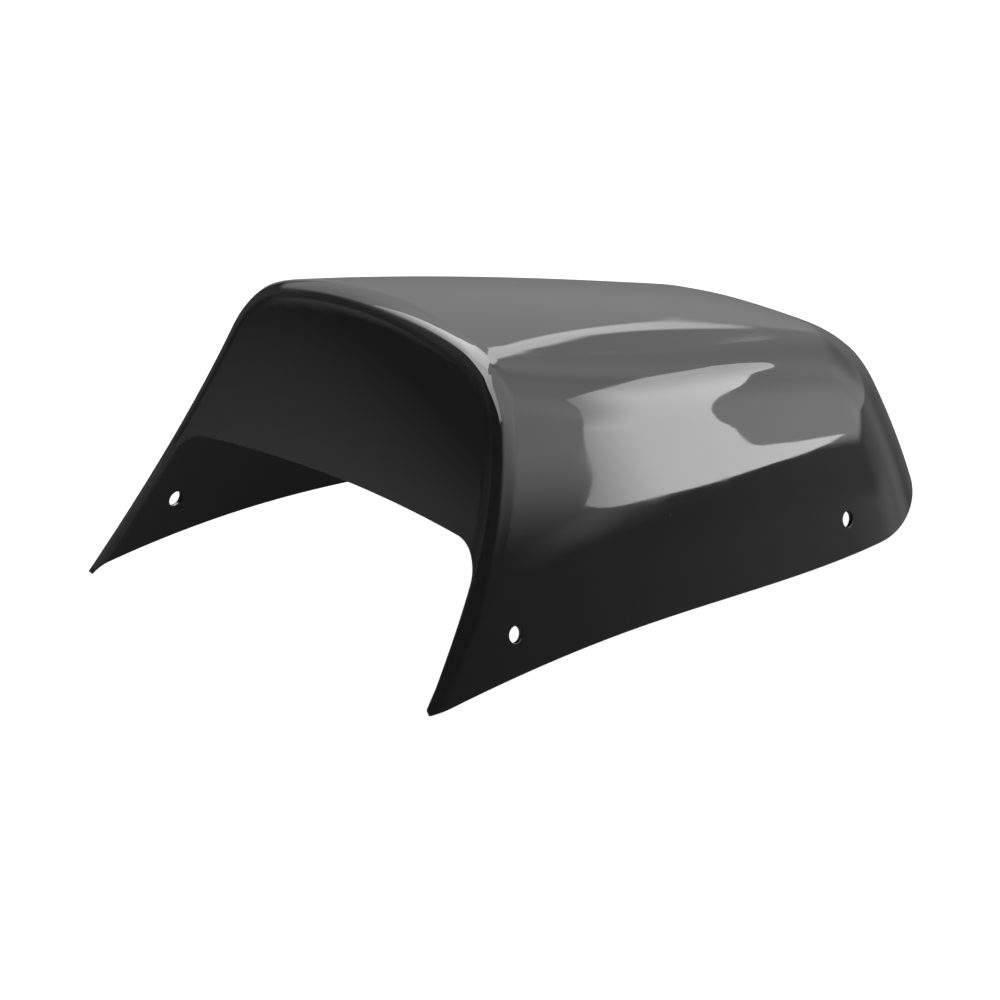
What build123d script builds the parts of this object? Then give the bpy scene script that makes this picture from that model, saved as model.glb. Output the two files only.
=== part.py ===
"""Seat cowl: one moulded hump shell, open underneath and open at the front below an arch.

X runs across, Y runs back from the two front tips, Z runs up from the table it stands on.
"""
import os
from math import sqrt

from build123d import *

# Plan and sides: half widths over the tips, at mid length and near the rear, at table level,
# and how far each has tucked in at the reference height.
MID_Y = 150.0
FRONT_HALF = 116.0
MID_HALF = 113.5
REAR_HALF = 97.0
REF_HEIGHT = 100.0
FRONT_TUCK = 26.7
MID_TUCK = 24.3
REAR_TUCK = 33.9
TUCK_BOW = 0.54

# Rear: length along the centre at table level, lean and bow of the rear wall, plan radii.
LENGTH = 361.4
REAR_LEAN = 30.6
REAR_BOW = 16.9
REAR_RADIUS = 930.0
CORNER_SHARE = 0.93

# Top: heights of the centre line at the same three stations, and how far the crown has
# dropped there a little outside the sides.
TOP_FRONT = 153.6
TOP_MID = 125.5
TOP_REAR = 86.3
CROWN_FRONT = 42.4
CROWN_MID = 34.2
CROWN_REAR = 12.9

# Creases along the shoulders, at the same stations: how far out they run, how steeply the band
# outside them falls away, and half the width over which they are eased.
CREASE_FRONT = 92.0
CREASE_MID = 54.0
CREASE_REAR = 46.5
BAND_FRONT = 0.54
BAND_MID = 0.41
BAND_REAR = 0.16
CREASE_EASE = 5.0

# Front wall: an arc that sweeps back from the tips.
FRONT_TOP_Z = 140.0
FRONT_TOP_Y = 69.7
FRONT_MID_Y = 50.6

# Moulding: wall and outside radii.
WALL = 2.4
SHOULDER_R = 47.0
FRONT_R = 11.0

# Bottom edge seen from the side: the tips, its arch, the low point near the rear and the rise
# behind it.
TIP_DROP = 0.8
ARCH_SLOPE = 0.145
ARCH_Y = 115.0
ARCH_Z = 7.5
LOW_Y = 289.0
REAR_RISE = 16.0

# Front opening: crown of the arch, its corners, and the lip left on the legs, which narrows
# close to the tips.
OPEN_TOP = 65.2
OPEN_SIDE = 59.8
OPEN_CORNER_R = 20.0
LIP_TOP = 6.5
LIP_LOW = 4.9
LIP_TIP = 3.8
TAPER_Z = 10.0
TAPER_R = 25.0

# Mounting holes, two in each side.
HOLE_D = 8.5
FRONT_HOLE_Y = 53.0
FRONT_HOLE_Z = 23.5
REAR_HOLE_Y = 266.5
REAR_HOLE_Z = 16.9

# How far the raw forms reach past the finished edges.
SPARE = 14.0


def through(front, mid, rear, y):
    """Value at y of the smooth curve through the three stations."""
    t = (y - MID_Y) / MID_Y
    return mid + (rear - front) / 2 * t + ((rear + front) / 2 - mid) * t * t


def half_width(y, z):
    """Outside half width of the shell at y and z."""
    q = z / REF_HEIGHT
    share = (1 - TUCK_BOW) * q + TUCK_BOW * q * q
    plan = through(FRONT_HALF, MID_HALF, REAR_HALF, y)
    return plan - through(FRONT_TUCK, MID_TUCK, REAR_TUCK, y) * share


def plan_outline(z, inset):
    """Horizontal outline at height z: two bowed sides and a bowed rear with round corners."""
    q = z / REF_HEIGHT
    back = LENGTH - REAR_LEAN * q - REAR_BOW * q * q - inset
    start = -3 * SPARE
    middle = (start + back) / 2
    x_start = half_width(start, z) - inset
    x_middle = half_width(middle, z) - inset
    x_back = half_width(back, z) - inset
    corner_y = back - (REAR_RADIUS - sqrt(REAR_RADIUS**2 - x_back**2))
    right = ThreePointArc((x_start, start), (x_middle, middle), (x_back, corner_y))
    rear = ThreePointArc((x_back, corner_y), (0, back), (-x_back, corner_y))
    left = ThreePointArc((-x_back, corner_y), (-x_middle, middle), (-x_start, start))
    front = Line((-x_start, start), (x_start, start))
    face = make_face([right, rear, left, front])
    corners = face.vertices().sort_by(Axis.Y)[-2:]
    return Pos(0, 0, z) * fillet(corners, CORNER_SHARE * x_back)


def top_section(y, inset):
    """Upright section at y below the top: a crown between two creases, a band outside each."""
    reach = FRONT_HALF + SPARE
    height = through(TOP_FRONT, TOP_MID, TOP_REAR, y) - inset
    drop = max(through(CROWN_FRONT, CROWN_MID, CROWN_REAR, y), 1)
    radius = (reach**2 + drop**2) / (2 * drop)
    steep = through(BAND_FRONT, BAND_MID, BAND_REAR, y)
    crease = min(through(CREASE_FRONT, CREASE_MID, CREASE_REAR, y), reach - SPARE) - inset * steep
    half = [(0, height)]
    for x in (crease / 2, crease - CREASE_EASE):
        half.append((x, height - radius + sqrt(radius**2 - x**2)))
    edge = height - radius + sqrt(radius**2 - crease**2)
    for x in (crease + CREASE_EASE, (crease + reach) / 2, reach):
        half.append((x, edge - steep * (x - crease)))
    top = Spline([(-x, z) for x, z in half[:0:-1]] + half)
    sides = Polyline(top @ 1, (reach, -2 * SPARE), (-reach, -2 * SPARE), top @ 0)
    return Plane(origin=(0, y, 0), x_dir=(1, 0, 0), z_dir=(0, -1, 0)) * make_face([top, sides])


def front_y(z):
    """How far back the front wall has swept at height z."""
    q = z / FRONT_TOP_Z
    return (4 * FRONT_MID_Y - FRONT_TOP_Y) * q + (2 * FRONT_TOP_Y - 4 * FRONT_MID_Y) * q * q


def front_profile(inset):
    """Side view of everything behind the front wall."""
    low = -2 * SPARE
    high = TOP_FRONT + SPARE
    points = []
    for step in range(5):
        z = low + (high - low) * step / 4
        slope = front_y(z + 0.5) - front_y(z - 0.5)
        points.append((front_y(z) + inset * sqrt(1 + slope**2), z))
    wall = Spline(points)
    far = LENGTH + SPARE
    return make_face([wall, Polyline(wall @ 1, (far, high), (far, low), wall @ 0)])


def side_extrude(face):
    """Extrude a side view across the full width."""
    view = Plane(origin=(-2 * FRONT_HALF, 0, 0), x_dir=(0, 1, 0), z_dir=(1, 0, 0))
    return extrude(view * face, 4 * FRONT_HALF)


def form(inset):
    """Solid hump with its radii, drawn in by the inset."""
    levels = (-SPARE, TOP_FRONT / 4, TOP_FRONT / 2, TOP_FRONT)
    body = loft([plan_outline(z, inset) for z in levels])
    body &= loft([top_section(y, inset) for y in (-3 * SPARE, MID_Y, 2 * MID_Y, LENGTH + SPARE)])
    body &= side_extrude(front_profile(inset))
    top = body.faces().sort_by(Axis.Z)[-1]
    body = fillet(top.edges().sort_by(Axis.Y)[1:], SHOULDER_R - inset)
    wall = body.faces().sort_by(Axis.Y)[0]
    return fillet(wall.edges().sort_by(Axis.Z)[1:], FRONT_R - inset)


def bottom_trim():
    """Everything below the bottom edge."""
    low = -2 * SPARE
    front = Line((-3 * SPARE, -TIP_DROP), (0, -TIP_DROP))
    arch = Spline(front @ 1, (ARCH_Y, ARCH_Z), (LOW_Y, 0), tangents=((1, ARCH_SLOPE), (1, 0)))
    rise = Spline((LOW_Y, 0), (LENGTH, REAR_RISE), tangents=((1, 0), (1, 0.1)))
    far = LENGTH + SPARE
    rest = Polyline(rise @ 1, (far, REAR_RISE), (far, low), (-3 * SPARE, low), front @ 0)
    return side_extrude(make_face([front, arch, rise, rest]))


def opening():
    """The front opening: an arch on top, then down the inside of both legs."""
    x_top = half_width(front_y(OPEN_SIDE), OPEN_SIDE) - LIP_TOP
    x_taper = half_width(front_y(TAPER_Z), TAPER_Z) - LIP_LOW
    x_tip = FRONT_HALF - LIP_TIP
    top = ThreePointArc((x_top, OPEN_SIDE), (0, OPEN_TOP), (-x_top, OPEN_SIDE))
    legs = Polyline(
        (-x_top, OPEN_SIDE),
        (-x_taper, TAPER_Z),
        (-x_tip, 0),
        (-x_tip, -SPARE),
        (x_tip, -SPARE),
        (x_tip, 0),
        (x_taper, TAPER_Z),
        (x_top, OPEN_SIDE),
    )
    face = make_face([top, legs])
    face = fillet(face.vertices().sort_by(Axis.Y)[-2:], OPEN_CORNER_R)
    face = fillet(face.vertices().sort_by(Axis.Y)[4:6], TAPER_R)
    view = Plane(origin=(0, FRONT_TOP_Y, 0), x_dir=(1, 0, 0), z_dir=(0, -1, 0))
    return extrude(view * face, FRONT_TOP_Y + SPARE)


def wall_hole(y, z, side):
    """One drilling square to the wall on one side, 1 or -1."""
    sweep = half_width(y + 0.5, z) - half_width(y - 0.5, z)
    lean = half_width(y, z + 0.5) - half_width(y, z - 0.5)
    square = Plane(origin=(side * half_width(y, z), y, z), z_dir=(side, -sweep, -lean))
    return square * Cylinder(HOLE_D / 2, 4 * WALL)


shell = form(0) - form(WALL)
shell -= bottom_trim()
shell -= opening()
for side in (1, -1):
    shell -= wall_hole(FRONT_HOLE_Y, FRONT_HOLE_Z, side)
    shell -= wall_hole(REAR_HOLE_Y, REAR_HOLE_Z, side)

# The origin is under the middle of the part, on the table.
box = shell.bounding_box()
shell = Pos(0, -(box.min.Y + box.max.Y) / 2, -box.min.Z) * shell

os.makedirs("parts", exist_ok=True)
export_step(shell, "parts/cowl_shell.step")
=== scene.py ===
from math import cos, degrees, pi, radians, sin

import bpy
import numpy as np
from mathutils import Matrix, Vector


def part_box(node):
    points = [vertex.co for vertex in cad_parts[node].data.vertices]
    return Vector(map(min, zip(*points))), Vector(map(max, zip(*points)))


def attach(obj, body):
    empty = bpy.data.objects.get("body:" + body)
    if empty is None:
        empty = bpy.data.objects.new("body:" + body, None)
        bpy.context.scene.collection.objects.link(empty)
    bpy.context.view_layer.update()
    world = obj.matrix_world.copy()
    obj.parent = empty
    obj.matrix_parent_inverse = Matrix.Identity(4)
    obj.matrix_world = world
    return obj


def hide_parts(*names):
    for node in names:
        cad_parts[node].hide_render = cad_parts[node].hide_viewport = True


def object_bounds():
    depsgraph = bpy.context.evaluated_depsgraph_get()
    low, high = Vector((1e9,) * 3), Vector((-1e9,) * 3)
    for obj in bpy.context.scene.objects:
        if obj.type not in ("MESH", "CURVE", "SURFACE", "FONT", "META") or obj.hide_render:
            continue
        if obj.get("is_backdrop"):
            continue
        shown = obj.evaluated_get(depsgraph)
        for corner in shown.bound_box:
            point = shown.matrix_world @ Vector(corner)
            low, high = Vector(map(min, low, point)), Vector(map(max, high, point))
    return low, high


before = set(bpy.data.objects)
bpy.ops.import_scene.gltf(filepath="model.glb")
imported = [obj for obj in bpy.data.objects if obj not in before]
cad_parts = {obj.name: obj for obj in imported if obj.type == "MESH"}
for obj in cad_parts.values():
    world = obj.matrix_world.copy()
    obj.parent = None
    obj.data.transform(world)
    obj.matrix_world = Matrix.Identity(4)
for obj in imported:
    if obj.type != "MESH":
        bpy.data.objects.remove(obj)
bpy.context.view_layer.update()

# Cowl shell. One moulded hump of black gloss plastic with a wall of about 2.4 mm, open below and
# open at the front under an arch. It comes out of one mould, is trimmed along its lower edge and
# round the front opening, and is drilled twice through each side for the seat's screws.
MM = 0.001
# Sides at the front, at mid length and near the rear: half widths at table level, and how far
# they have tucked in at the reference height.
MID_Y = 150.0
FRONT_HALF, MID_HALF, REAR_HALF = 116.0, 113.5, 97.0
FRONT_TUCK, MID_TUCK, REAR_TUCK = 26.7, 24.3, 33.9
REF_HEIGHT = 100.0
TUCK_BOW = 0.54
# Rear wall and rear corners.
LENGTH, REAR_LEAN, REAR_BOW = 361.4, 30.6, 16.9
REAR_RADIUS = 930.0
CORNER_SHARE = 0.93
# Top at the same three stations: centre line, drop of the crown at its reach, creases along the
# shoulders, and how steeply the band outside them falls.
TOP_FRONT, TOP_MID, TOP_REAR = 153.6, 125.5, 86.3
CROWN_FRONT, CROWN_MID, CROWN_REAR = 42.4, 34.2, 12.9
CROWN_REACH = 130.0
CREASE_FRONT, CREASE_MID, CREASE_REAR = 95.0, 54.0, 46.5
BAND_FRONT, BAND_MID, BAND_REAR = 0.54, 0.41, 0.16
# Front wall, wall thickness and outside radii.
FRONT_TOP_Z, FRONT_TOP_Y, FRONT_MID_Y = 140.0, 69.7, 50.6
WALL = 2.4
CREASE_R, SHOULDER_R, FRONT_R = 60.0, 47.0, 11.0
# Trims: lower edge, front opening, and the places of the holes along and up the sides.
TIP_DROP, ARCH_SLOPE, ARCH_Y, ARCH_Z = 0.8, 0.145, 115.0, 7.5
LOW_Y, REAR_RISE, RISE_SLOPE = 289.0, 16.0, 0.1
OPEN_TOP, OPEN_SIDE, OPEN_CORNER_R = 65.2, 59.8, 20.0
LIP_TOP, LIP_LOW, LIP_TIP, TAPER_Z = 6.5, 4.9, 4.2, 10.0
TIP_R = 1.3
HOLE_D = 7.3
HOLES = ((53.0, 23.1), (267.4, 16.9))
EDGE_R, HOLE_EDGE_R = 0.55, 0.25
# Net that is drawn in onto the hump: its spacing, its box, and the line it is drawn in towards.
NET_STEP = 2.8
NET_LOW, NET_HIGH = np.array((-121.0, -18.0, -14.0)), np.array((121.0, 369.0, 152.0))
CORE_FRONT, CORE_REAR, CORE_Z = 125.0, 235.0, 40.0
# Limits of the search for faces: cosine of faces that count as parallel, least lengths, rounds.
PARALLEL = 0.9995
TINY = 1e-9
NUDGE, LEAST_CLIMB = 0.05, 0.05
CORNER_ROUNDS, NET_ROUNDS, SETTLE_ROUNDS = 50, 26, 8


def through(front, mid, rear, y):
    """Value at y of the smooth curve through the front, middle and rear stations."""
    t = (y - MID_Y) / MID_Y
    return mid + (rear - front) / 2 * t + ((rear + front) / 2 - mid) * t * t


def half_width(y, z):
    """Outside half width of the shell at y and z."""
    q = z / REF_HEIGHT
    share = (1 - TUCK_BOW) * q + TUCK_BOW * q * q
    plan = through(FRONT_HALF, MID_HALF, REAR_HALF, y)
    return plan - through(FRONT_TUCK, MID_TUCK, REAR_TUCK, y) * share


def sweep(y, z):
    """How fast the side draws in towards the rear."""
    return half_width(y + 0.5, z) - half_width(y - 0.5, z)


def rear_y(z):
    """How far back the rear wall stands on the centre line."""
    q = z / REF_HEIGHT
    return LENGTH - REAR_LEAN * q - REAR_BOW * q * q


def front_y(z):
    """How far back the front wall has swept at height z."""
    q = z / FRONT_TOP_Z
    return (4 * FRONT_MID_Y - FRONT_TOP_Y) * q + (2 * FRONT_TOP_Y - 4 * FRONT_MID_Y) * q * q


def crown_z(x, y):
    """Height of the crowned top."""
    drop = np.maximum(through(CROWN_FRONT, CROWN_MID, CROWN_REAR, y), 1.0)
    radius = (CROWN_REACH**2 + drop**2) / (2 * drop)
    return through(TOP_FRONT, TOP_MID, TOP_REAR, y) - radius + np.sqrt(radius**2 - x * x)


def band_z(x, y):
    """Height of the band that falls away outside the crease along each shoulder."""
    crease = through(CREASE_FRONT, CREASE_MID, CREASE_REAR, y)
    steep = through(BAND_FRONT, BAND_MID, BAND_REAR, y)
    return crown_z(crease, y) - steep * (np.abs(x) - crease)


# Centre and radius of the rear corner at each level, found where its circle meets both walls.
level = np.arange(NET_LOW[2] - 2, NET_HIGH[2] + 2)
corner_r = CORNER_SHARE * half_width(rear_y(level), level)
before, behind = np.full_like(level, MID_Y), rear_y(level)
for _ in range(CORNER_ROUNDS):
    corner_start = (before + behind) / 2
    lean = sweep(corner_start, level)
    bend = np.sqrt(1 + lean * lean)
    corner_x = half_width(corner_start, level) - corner_r / bend
    corner_y = corner_start + corner_r * lean / bend
    reach = np.hypot(corner_x, corner_y - rear_y(level) + REAR_RADIUS)
    too_far = reach > REAR_RADIUS - corner_r
    behind = np.where(too_far, corner_start, behind)
    before = np.where(too_far, before, corner_start)


def plan_walls(x, y, z):
    """Distance outside the sides, rear corners and rear wall at one level, and its direction."""
    cx, cy, cr = (np.interp(z, level, values) for values in (corner_x, corner_y, corner_r))
    wide, back = np.abs(x), y - rear_y(z) + REAR_RADIUS
    slope = sweep(np.interp(z, level, corner_start), z)
    corner_back = cy - rear_y(z) + REAR_RADIUS
    on_side = (y - cy) + slope * (wide - cx) < 0
    on_rear = (wide - cx) * corner_back - (y - cy) * cx < 0
    lean = sweep(y, z)
    turn = np.sqrt(1 + lean * lean)
    corner = np.hypot(wide - cx, y - cy)
    rear = np.hypot(wide, back)

    def choose(side, end, rounded):
        return np.where(on_side, side, np.where(on_rear, end, rounded))

    distance = choose((wide - half_width(y, z)) / turn, rear - REAR_RADIUS, corner - cr)
    across = choose(1 / turn, wide / rear, (wide - cx) / corner)
    along = choose(-lean / turn, back / rear, (y - cy) / corner)
    return distance, np.sign(x) * across, along


def eased(a, a_way, b, b_way, radius):
    """Distance outside two faces' common solid with their corner rounded, and its direction."""
    c = np.clip((a_way * b_way).sum(-1), -PARALLEL, PARALLEL)
    u = a + radius - c * (b + radius)
    v = b + radius - c * (a + radius)
    span = np.sqrt(np.maximum((a + radius) * u + (b + radius) * v, TINY) / (1 - c * c))
    rounded = (u > 0) & (v > 0)
    distance = np.where(rounded, span - radius, np.maximum(a, b))
    blend = (u[:, None] * a_way + v[:, None] * b_way) / ((1 - c * c) * span)[:, None]
    way = np.where(rounded[:, None], blend, np.where((a > b)[:, None], a_way, b_way))
    return distance, way


def top_face(height, x, y, z):
    """Distance above a face given by its height, and the direction in which it grows."""
    slope_x = height(x + 0.5, y) - height(x - 0.5, y)
    slope_y = height(x, y + 0.5) - height(x, y - 0.5)
    way = np.stack([-slope_x, -slope_y, np.ones_like(x)], -1)
    size = np.linalg.norm(way, axis=1)
    return (z - height(x, y)) / size, way / size[:, None]


def hump(points):
    """Distance outside the solid hump, and the direction in which it grows."""
    x, y, z = points.T
    walls, wall_x, wall_y = plan_walls(x, y, z)
    wall_z = plan_walls(x, y, z + 0.5)[0] - plan_walls(x, y, z - 0.5)[0]
    wall_way = np.stack([wall_x, wall_y, wall_z], -1)
    wall_size = np.linalg.norm(wall_way, axis=1)
    top = eased(*top_face(crown_z, x, y, z), *top_face(band_z, x, y, z), CREASE_R)
    body = eased(walls / wall_size, wall_way / wall_size[:, None], *top, SHOULDER_R)
    front_z = front_y(z + 0.5) - front_y(z - 0.5)
    front_way = np.stack([np.zeros_like(x), -np.ones_like(x), front_z], -1)
    front_size = np.linalg.norm(front_way, axis=1)
    front = (front_y(z) - y) / front_size
    return eased(*body, front, front_way / front_size[:, None], FRONT_R)


def lower_edge(y):
    """Height of the trimmed lower edge: tips, a long arch, and the rise under the rear."""
    first, second, third = ARCH_Y, LOW_Y - ARCH_Y, LENGTH - LOW_Y
    up, down = (ARCH_Z + TIP_DROP) / first, -ARCH_Z / second
    middle = 3 * (up / first + down / second) - ARCH_SLOPE / first
    middle /= 2 * (1 / first + 1 / second)

    def piece(start, span, low, high, low_slope, high_slope):
        t = np.clip((y - start) / span, 0, 1)
        ends = low * (1 + 2 * t) * (1 - t) ** 2 + high * (3 - 2 * t) * t * t
        return ends + span * (low_slope * t * (1 - t) ** 2 - high_slope * (1 - t) * t * t)

    arch = piece(0, first, -TIP_DROP, ARCH_Z, ARCH_SLOPE, middle)
    fall = piece(ARCH_Y, second, ARCH_Z, 0, middle, 0)
    rise = piece(LOW_Y, third, 0, REAR_RISE, 0, RISE_SLOPE)
    return np.where(y < ARCH_Y, arch, np.where(y < LOW_Y, fall, rise))


def opening(wide, z):
    """Distance outside the front opening as seen from the front."""
    x_top = half_width(front_y(OPEN_SIDE), OPEN_SIDE) - LIP_TOP
    x_taper = half_width(front_y(TAPER_Z), TAPER_Z) - LIP_LOW
    x_tip = FRONT_HALF - LIP_TIP
    rise = OPEN_TOP - OPEN_SIDE
    radius = (x_top**2 + rise**2) / (2 * rise)
    out = np.hypot(wide, z - OPEN_TOP + radius)
    arch_way = np.stack([wide / out, (z - OPEN_TOP + radius) / out], -1)
    upper = np.array([OPEN_SIDE - TAPER_Z, x_taper - x_top])
    upper /= np.linalg.norm(upper)
    lower = np.array([TAPER_Z, x_tip - x_taper])
    lower /= np.linalg.norm(lower)
    leg = np.where(
        z > TAPER_Z,
        (wide - x_top) * upper[0] + (z - OPEN_SIDE) * upper[1],
        np.maximum((wide - x_tip) * lower[0] + z * lower[1], wide - x_tip),
    )
    leg_way = np.broadcast_to(upper, arch_way.shape)
    return eased(out - radius, arch_way, leg, leg_way, OPEN_CORNER_R)[0]


def trimmed(points):
    """Distance past the nearest cut: lower edge, front opening or a hole."""
    x, y, z = points.T
    wide = np.abs(x)
    below = lower_edge(y) - z
    inside = np.where(y < FRONT_TOP_Y, -opening(wide, z), -LENGTH)
    down = np.broadcast_to((0.0, -1.0), (len(x), 2))
    inward = np.broadcast_to((-1.0, 0.0), (len(x), 2))
    cut = eased(below, down, inside, inward, TIP_R)[0]
    for hole_y, hole_z in HOLES:
        lean = half_width(hole_y, hole_z + 0.5) - half_width(hole_y, hole_z - 0.5)
        axis = np.array([1, -sweep(hole_y, hole_z), -lean])
        axis /= np.linalg.norm(axis)
        away = np.stack([wide - half_width(hole_y, hole_z), y - hole_y, z - hole_z], -1)
        from_axis = np.linalg.norm(away - np.outer(away @ axis, axis), axis=1)
        cut = np.maximum(cut, HOLE_D / 2 + HOLE_EDGE_R - EDGE_R - from_axis)
    return cut


def settled(points):
    """Points moved onto the outside face and onto the start of the eased cut edge."""
    for _ in range(SETTLE_ROUNDS):
        distance, way = hump(points)
        points = points - distance[:, None] * way
        rises = [trimmed(points + n) - trimmed(points - n) for n in NUDGE * np.eye(3)]
        climb = np.stack(rises, -1) / (2 * NUDGE)
        climb -= (climb * way).sum(-1)[:, None] * way
        size = np.maximum((climb**2).sum(-1), LEAST_CLIMB)
        points = points - ((trimmed(points) + EDGE_R) / size)[:, None] * climb
    return points


# A box-shaped net of starting points round the hump, closed except underneath.
counts = [round(span / NET_STEP) for span in NET_HIGH - NET_LOW]
corners = []
for axis, end in ((0, 1), (0, 0), (1, 1), (1, 0), (2, 1)):
    first, second = (axis + 1) % 3, (axis + 2) % 3
    i, j = np.meshgrid(np.arange(counts[first]), np.arange(counts[second]), indexing="ij")
    for di, dj in ((0, 0), (1, 0), (1, 1), (0, 1)) if end else ((0, 0), (0, 1), (1, 1), (1, 0)):
        place = np.zeros((i.size, 3), int)
        place[:, axis] = end * counts[axis]
        place[:, first] = i.ravel() + di
        place[:, second] = j.ravel() + dj
        corners.append(place)
quads = np.concatenate([np.stack(corners[n : n + 4], 1) for n in range(0, len(corners), 4)])
knots, quads = np.unique(quads.reshape(-1, 3), axis=0, return_inverse=True)
quads = quads.reshape(-1, 4)
net = NET_LOW + knots * (NET_HIGH - NET_LOW) / counts
core = np.full_like(net, (0.0, 0.0, CORE_Z))
core[:, 1] = np.clip(net[:, 1], CORE_FRONT, CORE_REAR)
near, far = np.zeros(len(net)), np.ones(len(net))
for _ in range(NET_ROUNDS):
    middle = (near + far) / 2
    outside = hump(core + middle[:, None] * (net - core))[0] > 0
    far = np.where(outside, middle, far)
    near = np.where(outside, near, middle)
skin = core + ((near + far) / 2)[:, None] * (net - core)
triangles = np.concatenate([quads[:, [0, 1, 2]], quads[:, [0, 2, 3]]])

# The net is cut along the trims: points within this share of an edge's length slide onto the cut,
# and other edges are split there.
SLIDE = 0.3
past = trimmed(skin) + EDGE_R
edges = np.unique(np.sort(triangles[:, [0, 1, 1, 2, 2, 0]].reshape(-1, 2), axis=1), axis=0)
edges = edges[past[edges[:, 0]] * past[edges[:, 1]] < 0]
share = past[edges[:, 0]] / (past[edges[:, 0]] - past[edges[:, 1]])
movers = np.concatenate([edges, edges[:, ::-1]])
share = np.concatenate([share, 1 - share])
order = np.argsort(-share)
order = order[share[order] < SLIDE]
start, goal = movers[order].T
moved = skin.copy()
moved[start] = skin[start] + share[order, None] * (skin[goal] - skin[start])
start = np.unique(start)
moved[start] = settled(moved[start])
past[start] = 0
points, splits = list(moved), {}


def split(a, b):
    """The new point on edge a to b where the cut crosses it."""
    key = (min(a, b), max(a, b))
    if key not in splits:
        splits[key] = len(points)
        points.append(moved[a] + past[a] / (past[a] - past[b]) * (moved[b] - moved[a]))
    return splits[key]


signs = np.sign(past[triangles])
whole = (signs <= 0).all(1) & (signs < 0).any(1)
kept = list(map(tuple, triangles[whole]))
for face in triangles[(signs < 0).any(1) & (signs > 0).any(1)]:
    outline = []
    for a, b in zip(face, np.roll(face, -1)):
        if past[a] <= 0:
            outline.append(a)
        if past[a] * past[b] < 0:
            outline.append(split(a, b))
    kept.extend((outline[0], b, c) for b, c in zip(outline[1:], outline[2:]))
points = np.array(points)
fresh = np.array(sorted(splits.values()))
points[fresh] = settled(points[fresh])

# Open edges of the net, in order, as one long loop for the outline and a short one for each hole.
owner = {}
for number, (a, b, c) in enumerate(kept):
    owner.update({(a, b): number, (b, c): number, (c, a): number})
follows = {a: b for a, b in owner if (b, a) not in owner}
loops = []
while follows:
    loop = [next(iter(follows))]
    while loop[-1] in follows:
        loop.append(follows.pop(loop[-1]))
    loops.append(loop[:-1])
longest = max(map(len, loops))

# Extra points along the cut edges keep the holes and the arch round.
OUTLINE_PIECES, HOLE_PIECES = 2, 4
added = []
for n, loop in enumerate(loops):
    pieces = HOLE_PIECES if len(loop) < longest else OUTLINE_PIECES
    finer = []
    for a, b in zip(loop, loop[1:] + loop[:1]):
        face = kept[owner[(a, b)]]
        c = next(corner for corner in face if corner not in (a, b))
        chain = [a]
        for k in range(1, pieces):
            chain.append(len(points) + len(added))
            added.append(points[a] + (points[b] - points[a]) * k / pieces)
        chain.append(b)
        kept[owner[(a, b)]] = (chain[0], chain[1], c)
        for p, q in zip(chain[1:], chain[2:]):
            kept.append((p, q, c))
        owner[(b, c)] = len(kept) - 1
        finer.extend(chain[:-1])
    loops[n] = finer
points = np.concatenate([points, settled(np.array(added))])

used, kept = np.unique(np.array(kept), return_inverse=True)
kept = kept.reshape(-1, 3)
loops = [np.searchsorted(used, loop) for loop in loops]
longest = max(map(len, loops))
outer = points[used]
outer_way = hump(outer)[1]
outer_way /= np.linalg.norm(outer_way, axis=1)[:, None]

# The inside face lies one wall in, and each cut edge is eased over to it in rounded rings. Two
# attributes tell the finish which points lie inside and which on the outline's cut edge.
EASE_STEPS = 4
vertices = [outer, outer - WALL * outer_way]
normals = [outer_way, -outer_way]
inside = [np.zeros(len(outer)), np.ones(len(outer))]
cut = [np.zeros(len(outer)), np.zeros(len(outer))]
faces = [kept, kept[:, ::-1] + len(outer)]
total = 2 * len(outer)
for loop in loops:
    is_hole = len(loop) < longest
    ease = HOLE_EDGE_R if is_hole else EDGE_R
    base, way = outer[loop], outer_way[loop]
    along = np.roll(base, -1, 0) - np.roll(base, 1, 0)
    out = np.cross(along, way)
    out /= np.linalg.norm(out, axis=1)[:, None]
    rings = [loop]
    for step in range(1, 2 * EASE_STEPS):
        turn = step * pi / 2 / EASE_STEPS
        outer_half = step <= EASE_STEPS
        sunk = ease * (1 - cos(turn)) if outer_half else WALL - ease * (1 + cos(turn))
        vertices.append(base + ease * sin(turn) * out - sunk * way)
        normals.append(sin(turn) * out + cos(turn) * way)
        inside.append(np.full(len(loop), 0.0 if outer_half else 0.5))
        cut.append(np.full(len(loop), 0.0 if is_hole else 1.0))
        rings.append(total + np.arange(len(loop)))
        total += len(loop)
    rings.append(loop + len(outer))
    for last, ring in zip(rings, rings[1:]):
        quad = np.stack([np.roll(last, -1), last, ring, np.roll(ring, -1)], 1)
        faces.extend([quad[:, [0, 1, 2]], quad[:, [0, 2, 3]]])
vertices, normals, inside, cut, faces = map(np.concatenate, (vertices, normals, inside, cut, faces))

# The whole shell is moved so that it stands where the CAD shell stands.
low, high = (np.array(corner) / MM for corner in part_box("cowl_shell"))
shift = (low + high) / 2 - (vertices.min(0) + vertices.max(0)) / 2
shift[2] = low[2] - vertices[:, 2].min()
shell_mesh = bpy.data.meshes.new("gloss_cowl")
shell_mesh.from_pydata(((vertices + shift) * MM).tolist(), [], faces.tolist())
shell_mesh.attributes.new("inside", "FLOAT", "POINT").data.foreach_set("value", inside)
shell_mesh.attributes.new("cut", "FLOAT", "POINT").data.foreach_set("value", cut)
shell_mesh.shade_smooth()
shell_mesh.normals_split_custom_set_from_vertices(normals.tolist())
cowl = bpy.data.objects.new("gloss_cowl", shell_mesh)
bpy.context.collection.objects.link(cowl)


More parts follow.
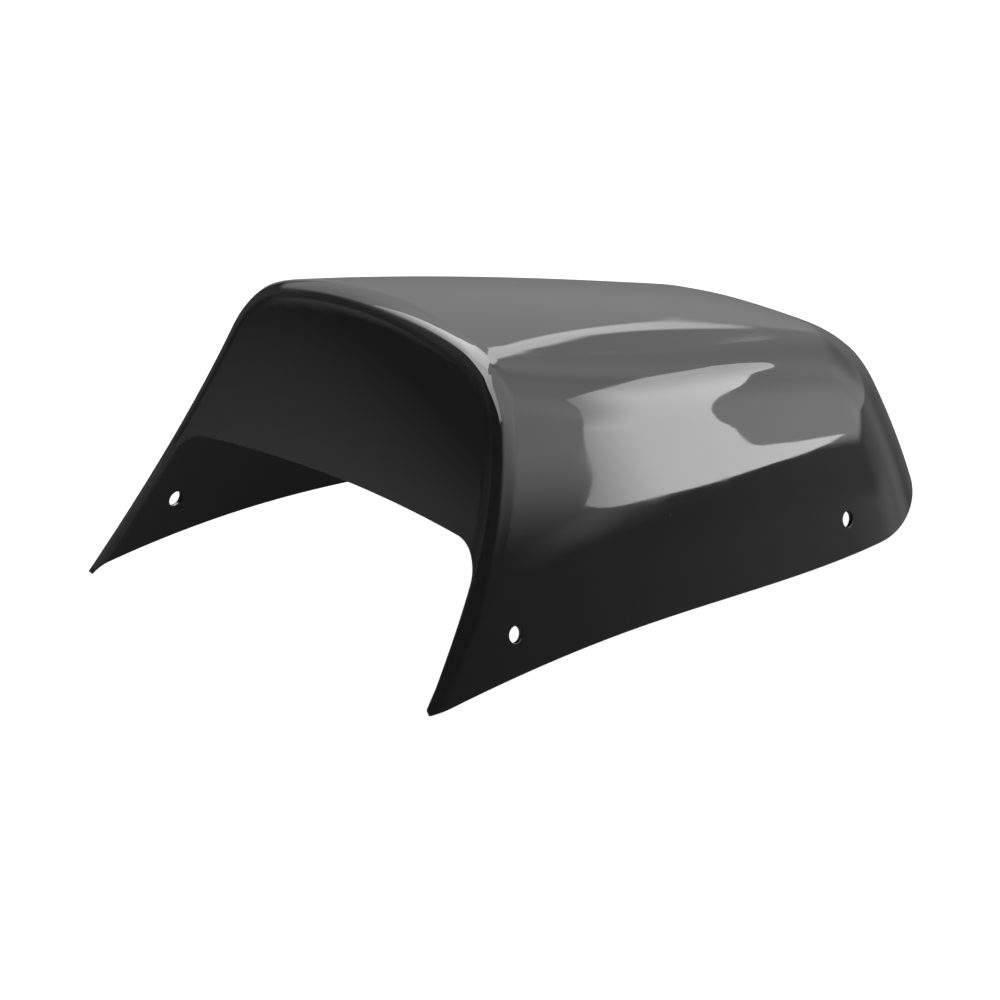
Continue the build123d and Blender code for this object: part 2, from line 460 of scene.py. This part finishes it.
class Socket:
    """A socket of a node tree: sums on it add Math nodes, and node() adds any other node."""

    def __init__(self, tree, socket=None):
        self.tree = tree
        self.socket = socket

    def node(self, kind, settings, sockets, output=0):
        """One output of a new node, whose inputs are values or other sockets."""
        made = self.tree.nodes.new("ShaderNode" + kind)
        for name, value in settings.items():
            setattr(made, name, value)
        for name, value in sockets.items():
            if isinstance(value, Socket):
                value.feed(made, name)
            else:
                made.inputs[name].default_value = value
        return Socket(self.tree, made.outputs[output])

    def feed(self, node, name):
        """Link this socket to a node's input."""
        self.tree.links.new(self.socket, node.inputs[name])

    def math(self, operation, first, second=0.0):
        return self.node("Math", {"operation": operation}, {0: first, 1: second})

    def __add__(self, other):
        return self.math("ADD", self, other)

    def __radd__(self, other):
        return self.math("ADD", other, self)

    def __sub__(self, other):
        return self.math("SUBTRACT", self, other)

    def __rsub__(self, other):
        return self.math("SUBTRACT", other, self)

    def __mul__(self, other):
        return self.math("MULTIPLY", self, other)

    def __rmul__(self, other):
        return self.math("MULTIPLY", other, self)

    def __truediv__(self, other):
        return self.math("DIVIDE", self, other)

    def __gt__(self, other):
        return self.math("GREATER_THAN", self, other)

    def __lt__(self, other):
        return self.math("LESS_THAN", self, other)

    def at_least(self, least):
        return self.math("MAXIMUM", self, least)

    def at_most(self, most):
        return self.math("MINIMUM", self, most)

    def ranged(self, low, high, first=0.0, last=1.0):
        """Smooth step from first to last as this value goes from low to high."""
        return self.node(
            "MapRange",
            {"interpolation_type": "SMOOTHSTEP"},
            {"Value": self, "From Min": low, "From Max": high, "To Min": first, "To Max": last},
        )

    def between(self, start, full, fade, end):
        """1 from full to fade, falling smoothly to 0 at start and at end."""
        return self.ranged(start, full) * self.ranged(end, fade)


def new_material(name):
    """A new material, its tree and its shader."""
    material = bpy.data.materials.new(name)
    material.use_nodes = True
    return material, Socket(material.node_tree), material.node_tree.nodes["Principled BSDF"]


# Its finish: deep black gloss with a trace of orange peel, smears and dust; the outline's cut edge
# is dressed to a duller grey, and the inside is left as it came off the mould. Depths in metres.
BLACK = (0.0034, 0.0034, 0.0037, 1)
CUT_GREY = (0.020, 0.020, 0.021, 1)
DUST_GREY = (0.20, 0.20, 0.19, 1)
GLOSS_ROUGH, SMEAR_ROUGH, INSIDE_ROUGH, CUT_ROUGH, DUST_ROUGH = 0.022, 0.03, 0.36, 0.22, 0.4
SWELL_DEPTH, PEEL_DEPTH, GRAIN_DEPTH = 0.00006, 0.0000006, 0.00002
SWELL_SCALE, PEEL_SCALE, SMEAR_SCALE, GRAIN_SCALE = 16.0, 620.0, 34.0, 1500.0
DUST_SCALE, DUST_SIZE, DUST_FREE = 95.0, 0.028, 0.86
PLASTIC_IOR = 1.5
gloss, tree, shader = new_material("gloss_black")
place = tree.node("TexCoord", {}, {}, "Object")
is_inside = tree.node("Attribute", {"attribute_name": "inside"}, {}, "Fac")
is_cut = tree.node("Attribute", {"attribute_name": "cut"}, {}, "Fac")


def noise(scale, detail, roughness=0.5):
    """Cloudy noise of the given scale over the shell."""
    values = {"Vector": place, "Scale": scale, "Detail": detail, "Roughness": roughness}
    return place.node("TexNoise", {}, values)


def mixed(share, first, second):
    """First colour, with a share of the second."""
    values = {"Factor": share, "A": first, "B": second}
    return share.node("Mix", {"data_type": "RGBA"}, values, "Result")


speck = {"Vector": place, "Scale": DUST_SCALE, "Randomness": 1.0}
speck_draw = tree.node("TexVoronoi", {}, speck, "Color")
speck_draw = tree.node("SeparateColor", {}, {"Color": speck_draw}, "Red")
dust = (tree.node("TexVoronoi", {}, speck) < DUST_SIZE) * (speck_draw > DUST_FREE) * (1 - is_inside)
tone = mixed(dust, mixed(is_cut, BLACK, CUT_GREY), DUST_GREY)
rough = GLOSS_ROUGH + SMEAR_ROUGH * noise(SMEAR_SCALE, 5.0, 0.6).ranged(0.45, 0.75)
rough = rough + INSIDE_ROUGH * is_inside + CUT_ROUGH * is_cut + DUST_ROUGH * dust
height = SWELL_DEPTH * noise(SWELL_SCALE, 1.0) + PEEL_DEPTH * noise(PEEL_SCALE, 2.0)
height = height + GRAIN_DEPTH * is_inside * noise(GRAIN_SCALE, 3.0)
bump = tree.node("Bump", {}, {"Height": height, "Strength": 1.0, "Distance": 1.0}, "Normal")
tone.feed(shader, "Base Color")
rough.feed(shader, "Roughness")
bump.feed(shader, "Normal")
shader.inputs["IOR"].default_value = PLASTIC_IOR
shell_mesh.materials.append(gloss)
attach(cowl, "root")
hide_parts("cowl_shell")

# Floor. A wide sheet of matt white studio paper under the cowl, lit until it is almost white, with
# only a faint shadow where the shell stands. The gloss doesn't show it, since the light boards and
# walls already hold what is seen there.
FLOOR_HALF = 14.0
PAPER_TONE = (0.08, 0.08, 0.08, 1)
WHITE = (1, 1, 1, 1)
floor_mesh = bpy.data.meshes.new("paper_floor")
floor_mesh.from_pydata(
    [(x * FLOOR_HALF, y * FLOOR_HALF, 0) for x, y in ((-1, -1), (1, -1), (1, 1), (-1, 1))],
    [],
    [(0, 1, 2, 3)],
)
floor = bpy.data.objects.new("paper_floor", floor_mesh)
bpy.context.collection.objects.link(floor)
floor.visible_glossy = False
paper, _, shader = new_material("white_paper")
shader.inputs["Base Color"].default_value = PAPER_TONE
shader.inputs["Roughness"].default_value = 1.0
shader.inputs["Specular IOR Level"].default_value = 0.0
shader.inputs["Emission Color"].default_value = WHITE
shader.inputs["Emission Strength"].default_value = 1.0
floor_mesh.materials.append(paper)
floor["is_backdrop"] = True


# Studio lights. Flat glowing boards round the table that the camera doesn't see: a box overhead
# with an arm towards the camera, a curved panel behind the near side, a dim card low in front, and
# a small card close to the near front corner. Sizes in metres, turns from the front to the right.
def light_board(name, corners, glow):
    """A glowing board through the given corners: its place in x, y and z, and its shader."""
    mesh = bpy.data.meshes.new(name)
    mesh.from_pydata(corners, [], [tuple(range(len(corners)))])
    board = bpy.data.objects.new(name, mesh)
    bpy.context.collection.objects.link(board)
    board.visible_camera = False
    board.visible_shadow = False
    material, tree, shader = new_material(name)
    shader.inputs["Base Color"].default_value = (0, 0, 0, 1)
    shader.inputs["Specular IOR Level"].default_value = 0.0
    shader.inputs["Emission Color"].default_value = WHITE
    shader.inputs["Emission Strength"].default_value = glow
    mesh.materials.append(material)
    board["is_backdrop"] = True
    place = tree.node("TexCoord", {}, {}, "Object")
    return [tree.node("SeparateXYZ", {}, {"Vector": place}, axis) for axis in "XYZ"], shader


def upright_board(name, outline, glow, turn, away, base=(0.0, 0.0)):
    """A board that stands upright, away from a base point: its place across and up, its shader."""
    corners = []
    for s, h in outline:
        x = base[0] + away * sin(turn) + s * cos(turn)
        y = base[1] - away * cos(turn) + s * sin(turn)
        corners.append((x, y, h))
    (x, y, z), shader = light_board(name, corners, glow)
    return cos(turn) * (x - base[0]) + sin(turn) * (y - base[1]), z, shader


def smooth_line(points, steps=6):
    """Points along a smooth line through the given ones."""
    points = np.array([points[0], *points, points[-1]])
    line = [points[0]]
    for a, b, c, d in zip(points, points[1:], points[2:], points[3:]):
        for t in np.arange(1, steps + 1) / steps:
            curve = 2 * a - 5 * b + 4 * c - d + t * (3 * (b - c) + d - a)
            line.append(b + t / 2 * (c - a + t * curve))
    return line


CEILING = 2.0
OVERHEAD_GLOW, ARM_GLOW = 10.0, 8.0
overhead_outline = (
    (-2.05, -0.95), (-1.7, -1.0), (-1.45, -0.88), (-1.15, -0.72), (-0.9, -0.68), (-0.5, -0.66),
    (0.45, -0.35), (0.37, 0.05), (0.27, 0.38), (0.19, 0.65), (0.17, 0.9), (0.12, 1.25),
    (-1.0, 1.3), (-0.92, 0.98), (-0.95, 0.5), (-1.11, 0.18), (-1.33, -0.08), (-1.62, -0.43),
    (-1.95, -0.75),
)
corners = [(x, y, CEILING) for x, y in overhead_outline]
(x, y, _), shader = light_board("overhead_box", corners, OVERHEAD_GLOW)
shade = (y.ranged(-1.1, 0.3, 0.35, 1.0) + x.ranged(-0.9, -0.2, 0.0, 0.38)).at_most(1.0)
(shade * y.ranged(0.5, 1.3, 1.0, 0.68)).feed(shader, "Emission Color")

arm_outline = (
    (-0.5, -0.66), (-0.95, -0.67), (-0.6, -0.84), (-0.35, -1.02), (-0.12, -1.24), (0.15, -1.45),
    (0.45, -1.62), (0.74, -1.55), (0.79, -1.40), (0.64, -0.89), (0.45, -0.35),
)
light_board("overhead_arm", [(x, y, CEILING) for x, y in arm_outline], ARM_GLOW)

# The side panel dims towards its left edge, which leans over above the bend, and towards its tip.
SIDE_TURN, SIDE_AWAY, SIDE_GLOW = radians(150), 1.6, 8.1
SIDE_BEND, SIDE_LEAN = 0.38, 0.9
rising_edge = (
    (-0.60, 0.14), (-0.56, 0.21), (-0.535, 0.355), (-0.39, 0.60), (-0.26, 0.77), (-0.13, 0.93),
    (-0.04, 0.99), (0.25, 1.10), (0.68, 1.205), (1.08, 1.21),
)
falling_edge = (
    (1.15, 1.17), (1.12, 1.11), (0.93, 1.04), (0.70, 1.003), (0.40, 0.867), (0.15, 0.73),
    (-0.04, 0.547), (-0.16, 0.324), (-0.18, 0.15), (-0.11, 0.113), (0.015, 0.10),
)
lower_side = ((-0.03, 0.083), (-0.12, 0.069), (-0.31, 0.062), (-0.50, 0.088), (-0.57, 0.115))
side_outline = smooth_line(rising_edge) + smooth_line(falling_edge) + smooth_line(lower_side)
across, z, shader = upright_board("side_panel", side_outline, SIDE_GLOW, SIDE_TURN, SIDE_AWAY)
from_edge = across - SIDE_LEAN * (z - SIDE_BEND).at_least(0.0)
shade = from_edge.ranged(-0.64, -0.38, 0.45, 1.0) * from_edge.ranged(-0.1, 0.4, 1.0, 0.8)
(shade * z.ranged(0.85, 1.2, 1.0, 0.6)).feed(shader, "Emission Color")

# The front card brightens upwards and dims to both sides of its brightest place, within limits,
# and is even above the height of the cowl.
FRONT_TURN, FRONT_AWAY = radians(-47), 0.5
FRONT_ACROSS, FRONT_UP, FRONT_SHADE = 0.092, 0.144, 0.27
FRONT_RISE, FRONT_SLANT, FRONT_BOW = 2.714, 1.525, 21.44
FRONT_DARK, FRONT_LIGHT, FRONT_ABOVE = 0.09, 0.5, 0.17
front_outline = ((-0.15, -0.02), (0.35, -0.02), (0.35, 0.40), (-0.15, 0.40))
across, z, shader = upright_board("front_card", front_outline, 1.0, FRONT_TURN, FRONT_AWAY)
across = across - FRONT_ACROSS
shade = FRONT_SHADE + FRONT_RISE * (z - FRONT_UP)
shade = shade - FRONT_SLANT * across - FRONT_BOW * across * across
shade = shade.at_least(FRONT_DARK).at_most(FRONT_LIGHT)
shade = shade * z.ranged(0.27, 0.215) + FRONT_ABOVE * z.ranged(0.215, 0.27)
shade.feed(shader, "Emission Color")

# The corner card holds a slanted streak, wider upwards, and a fill on one side of it that fades
# downwards.
CORNER_TURN, CORNER_AWAY, CORNER_BASE = radians(70), 0.12, (0.097, -0.118)
CORNER_DARK = 0.06
STREAK_GLOW, STREAK_RISE = 3.0, 9.0
STREAK_LEAN, STREAK_START, STREAK_END = 0.55, 0.063, 0.14
STREAK_WIDEN, STREAK_FOOT, STREAK_HALF = 0.35, 0.06, 0.016
FILL_LEAN, FILL_DROP = 0.25, 0.85
corner_outline = (
    (0.13, 0.09), (0.0, 0.075), (-0.32, 0.07), (-0.32, 0.56), (0.2, 0.56), (0.2, 0.2), (0.15, 0.15),
)
across, z, shader = upright_board(
    "corner_card", corner_outline, 1.0, CORNER_TURN, CORNER_AWAY, CORNER_BASE
)
from_streak = across + (STREAK_LEAN * z - STREAK_START).at_most(STREAK_END)
ratio = from_streak / (STREAK_WIDEN * z - STREAK_FOOT).at_least(STREAK_HALF)
streak = (STREAK_GLOW + STREAK_RISE * z) * z.ranged(0.188, 0.204)
streak = streak * (ratio * ratio).ranged(1.3, 0.7)
up_fill = z + FILL_LEAN * across + FILL_DROP * across.at_most(0.0)
fill = up_fill.ranged(0.115, 0.215, 0.1, 2.75) * from_streak.ranged(-0.02, 0.02)
(CORNER_DARK + streak.at_least(fill)).feed(shader, "Emission Color")

# Studio walls. Their glow by direction in degrees: turn counts to the right from straight behind
# the cowl, height up from the table. Pale and rising behind it, a bright wall at the right with a
# slanted foot, a strip of light behind the shoulder, and almost dark in front.
DARK_GLOW, PALE_GLOW, RIGHT_GLOW, STRIP_GLOW = 0.05, 0.47, 2.1, 0.1
world = bpy.data.worlds.new("studio_walls")
bpy.context.scene.world = world
world.use_nodes = True
background = world.node_tree.nodes["Background"]
tree = Socket(world.node_tree)
ray = tree.node("TexCoord", {}, {}, "Generated")
east, north, up = (tree.node("SeparateXYZ", {}, {"Vector": ray}, axis) for axis in "XYZ")
turn = tree.math("ARCTAN2", east, north) * degrees(1)
height = tree.math("ARCSINE", up) * degrees(1)

# The strip fans out upwards from the table, so places beside it are counted in shares of height.
STRIP_TURN, STRIP_LEAN, STRIP_FOOT = -41.5, 0.512, 2.0
beside_strip = (turn - STRIP_TURN - STRIP_LEAN * height) / height.at_least(2 * STRIP_FOOT)
strip_low = (0.0062 * height - 0.23 + 0.01 * (height - 26.0).at_least(0.0)).at_most(0.0)
strip_top = height.ranged(21.5, 26.5, 0.06, 0.15) + 0.03 * (height - 27.0).at_least(0.0)
strip_top = strip_top.at_most(0.36)
strip = STRIP_GLOW * (height - STRIP_FOOT) * height.between(4.0, 9.0, 64.0, 74.0)
strip = strip * (beside_strip - strip_low).ranged(-0.025, 0.025)
strip = strip * (beside_strip - strip_top).ranged(0.025, -0.035)

# The pale wall behind brightens upwards, is dimmer beside the strip, and ends at a slanted line.
PALE_RISE, PALE_TOP = 0.0345, 52.0
left_end = (24.0 + 2.45 * height).at_least(58.0).at_most(118.0)
pale_wall = PALE_GLOW * tree.math("EXPONENT", PALE_RISE * height.at_most(PALE_TOP))
pale_wall = pale_wall * height.ranged(-22.0, 5.0, 0.5, 1.0) * turn.ranged(-42.0, -46.0, 1.0, 0.91)
pale_wall = pale_wall * (1 - 0.26 * beside_strip.ranged(-0.10, 0.05) * height.ranged(3.0, 9.0))
pale_wall = pale_wall * (1 - 0.33 * beside_strip.ranged(0.3, 1.2) * height.ranged(20.0, 10.0))
pale_wall = pale_wall * (turn + left_end).ranged(-9.0, 8.0) * turn.ranged(12.0, -10.0)

# The right wall stands on a foot that climbs to the right, where its edge is softer.
FOOT_TURN, FOOT_SLOPE, FOOT_TOP = 42.0, 0.63, 29.0
soft = turn.ranged(FOOT_TURN, FOOT_TURN + 5.0, 0.6, 5.5)
foot = (FOOT_SLOPE * (turn - FOOT_TURN).at_least(0.0)).at_most(FOOT_TOP)
foot = foot + turn.ranged(32.0, 40.0, 1.2, 0.5)
right_wall = RIGHT_GLOW + 0.5 * height.ranged(20.0, 34.0) * turn.ranged(30.0, 50.0)
right_wall = right_wall + 0.4 * height.ranged(26.0, 16.0) * turn.between(8.0, 20.0, 36.0, 44.0)
right_wall = right_wall * (1 - 0.2 * height.ranged(22.0, 32.0) * turn.ranged(40.0, 25.0))
right_wall = right_wall * (height - foot).ranged(0 - soft, soft)
right_wall = right_wall * turn.between(-25.0, 42.0, 125.0, 140.0)
right_wall = right_wall * (1 - turn.ranged(76.0, 84.0) * height.ranged(62.0, 54.0))

# Dim light below the right wall, along its foot, low behind, at the front left, and high in front.
low_right = (0.1 + 0.44 * turn.ranged(54.0, 12.0)) * turn.between(-12.0, 6.0, 70.0, 120.0)
low_right = low_right * height.ranged(-30.0, -15.0, 0.2, 1.0)
low_right = low_right - 0.05 * height.ranged(-6.0, -2.0) * turn.between(20.0, 28.0, 40.0, 46.0)
foot_glow = 0.3 * height.between(-1.5, 0.3, 1.0, 2.2) * turn.between(39.0, 43.0, 47.0, 52.0)
low_rear = 0.26 * height.ranged(-3.5, -6.0) * turn.between(8.0, 20.0, 29.0, 32.0)
front_left = 0.12 * turn.between(-145.0, -128.0, -100.0, -60.0)
front_high = 0.2 * height.ranged(12.0, 38.0) * north.ranged(0.0, -0.3) * east.ranged(0.38, 0.1)
glow = DARK_GLOW + strip + pale_wall + right_wall
glow = glow + low_right + foot_glow + low_rear + front_left + front_high
glow.feed(background, "Color")
background.inputs["Strength"].default_value = 1.0

# Camera. A long lens well back from the table, looking down on the near front corner.
LENS, SENSOR = 198.0, 36.0
CAMERA_PLACE = (1.68913, -1.57762, 0.87214)
CAMERA_TILT, CAMERA_TURN = radians(69.8), radians(47.551)
camera_data = bpy.data.cameras.new("camera")
camera_data.lens = LENS
camera_data.sensor_width = SENSOR
camera_data.clip_end = 100.0
camera = bpy.data.objects.new("camera", camera_data)
camera.location = CAMERA_PLACE
camera.rotation_euler = (CAMERA_TILT, 0, CAMERA_TURN)
bpy.context.collection.objects.link(camera)
bpy.context.scene.camera = camera
bpy.context.scene.view_settings.view_transform = "Standard"

low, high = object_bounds()
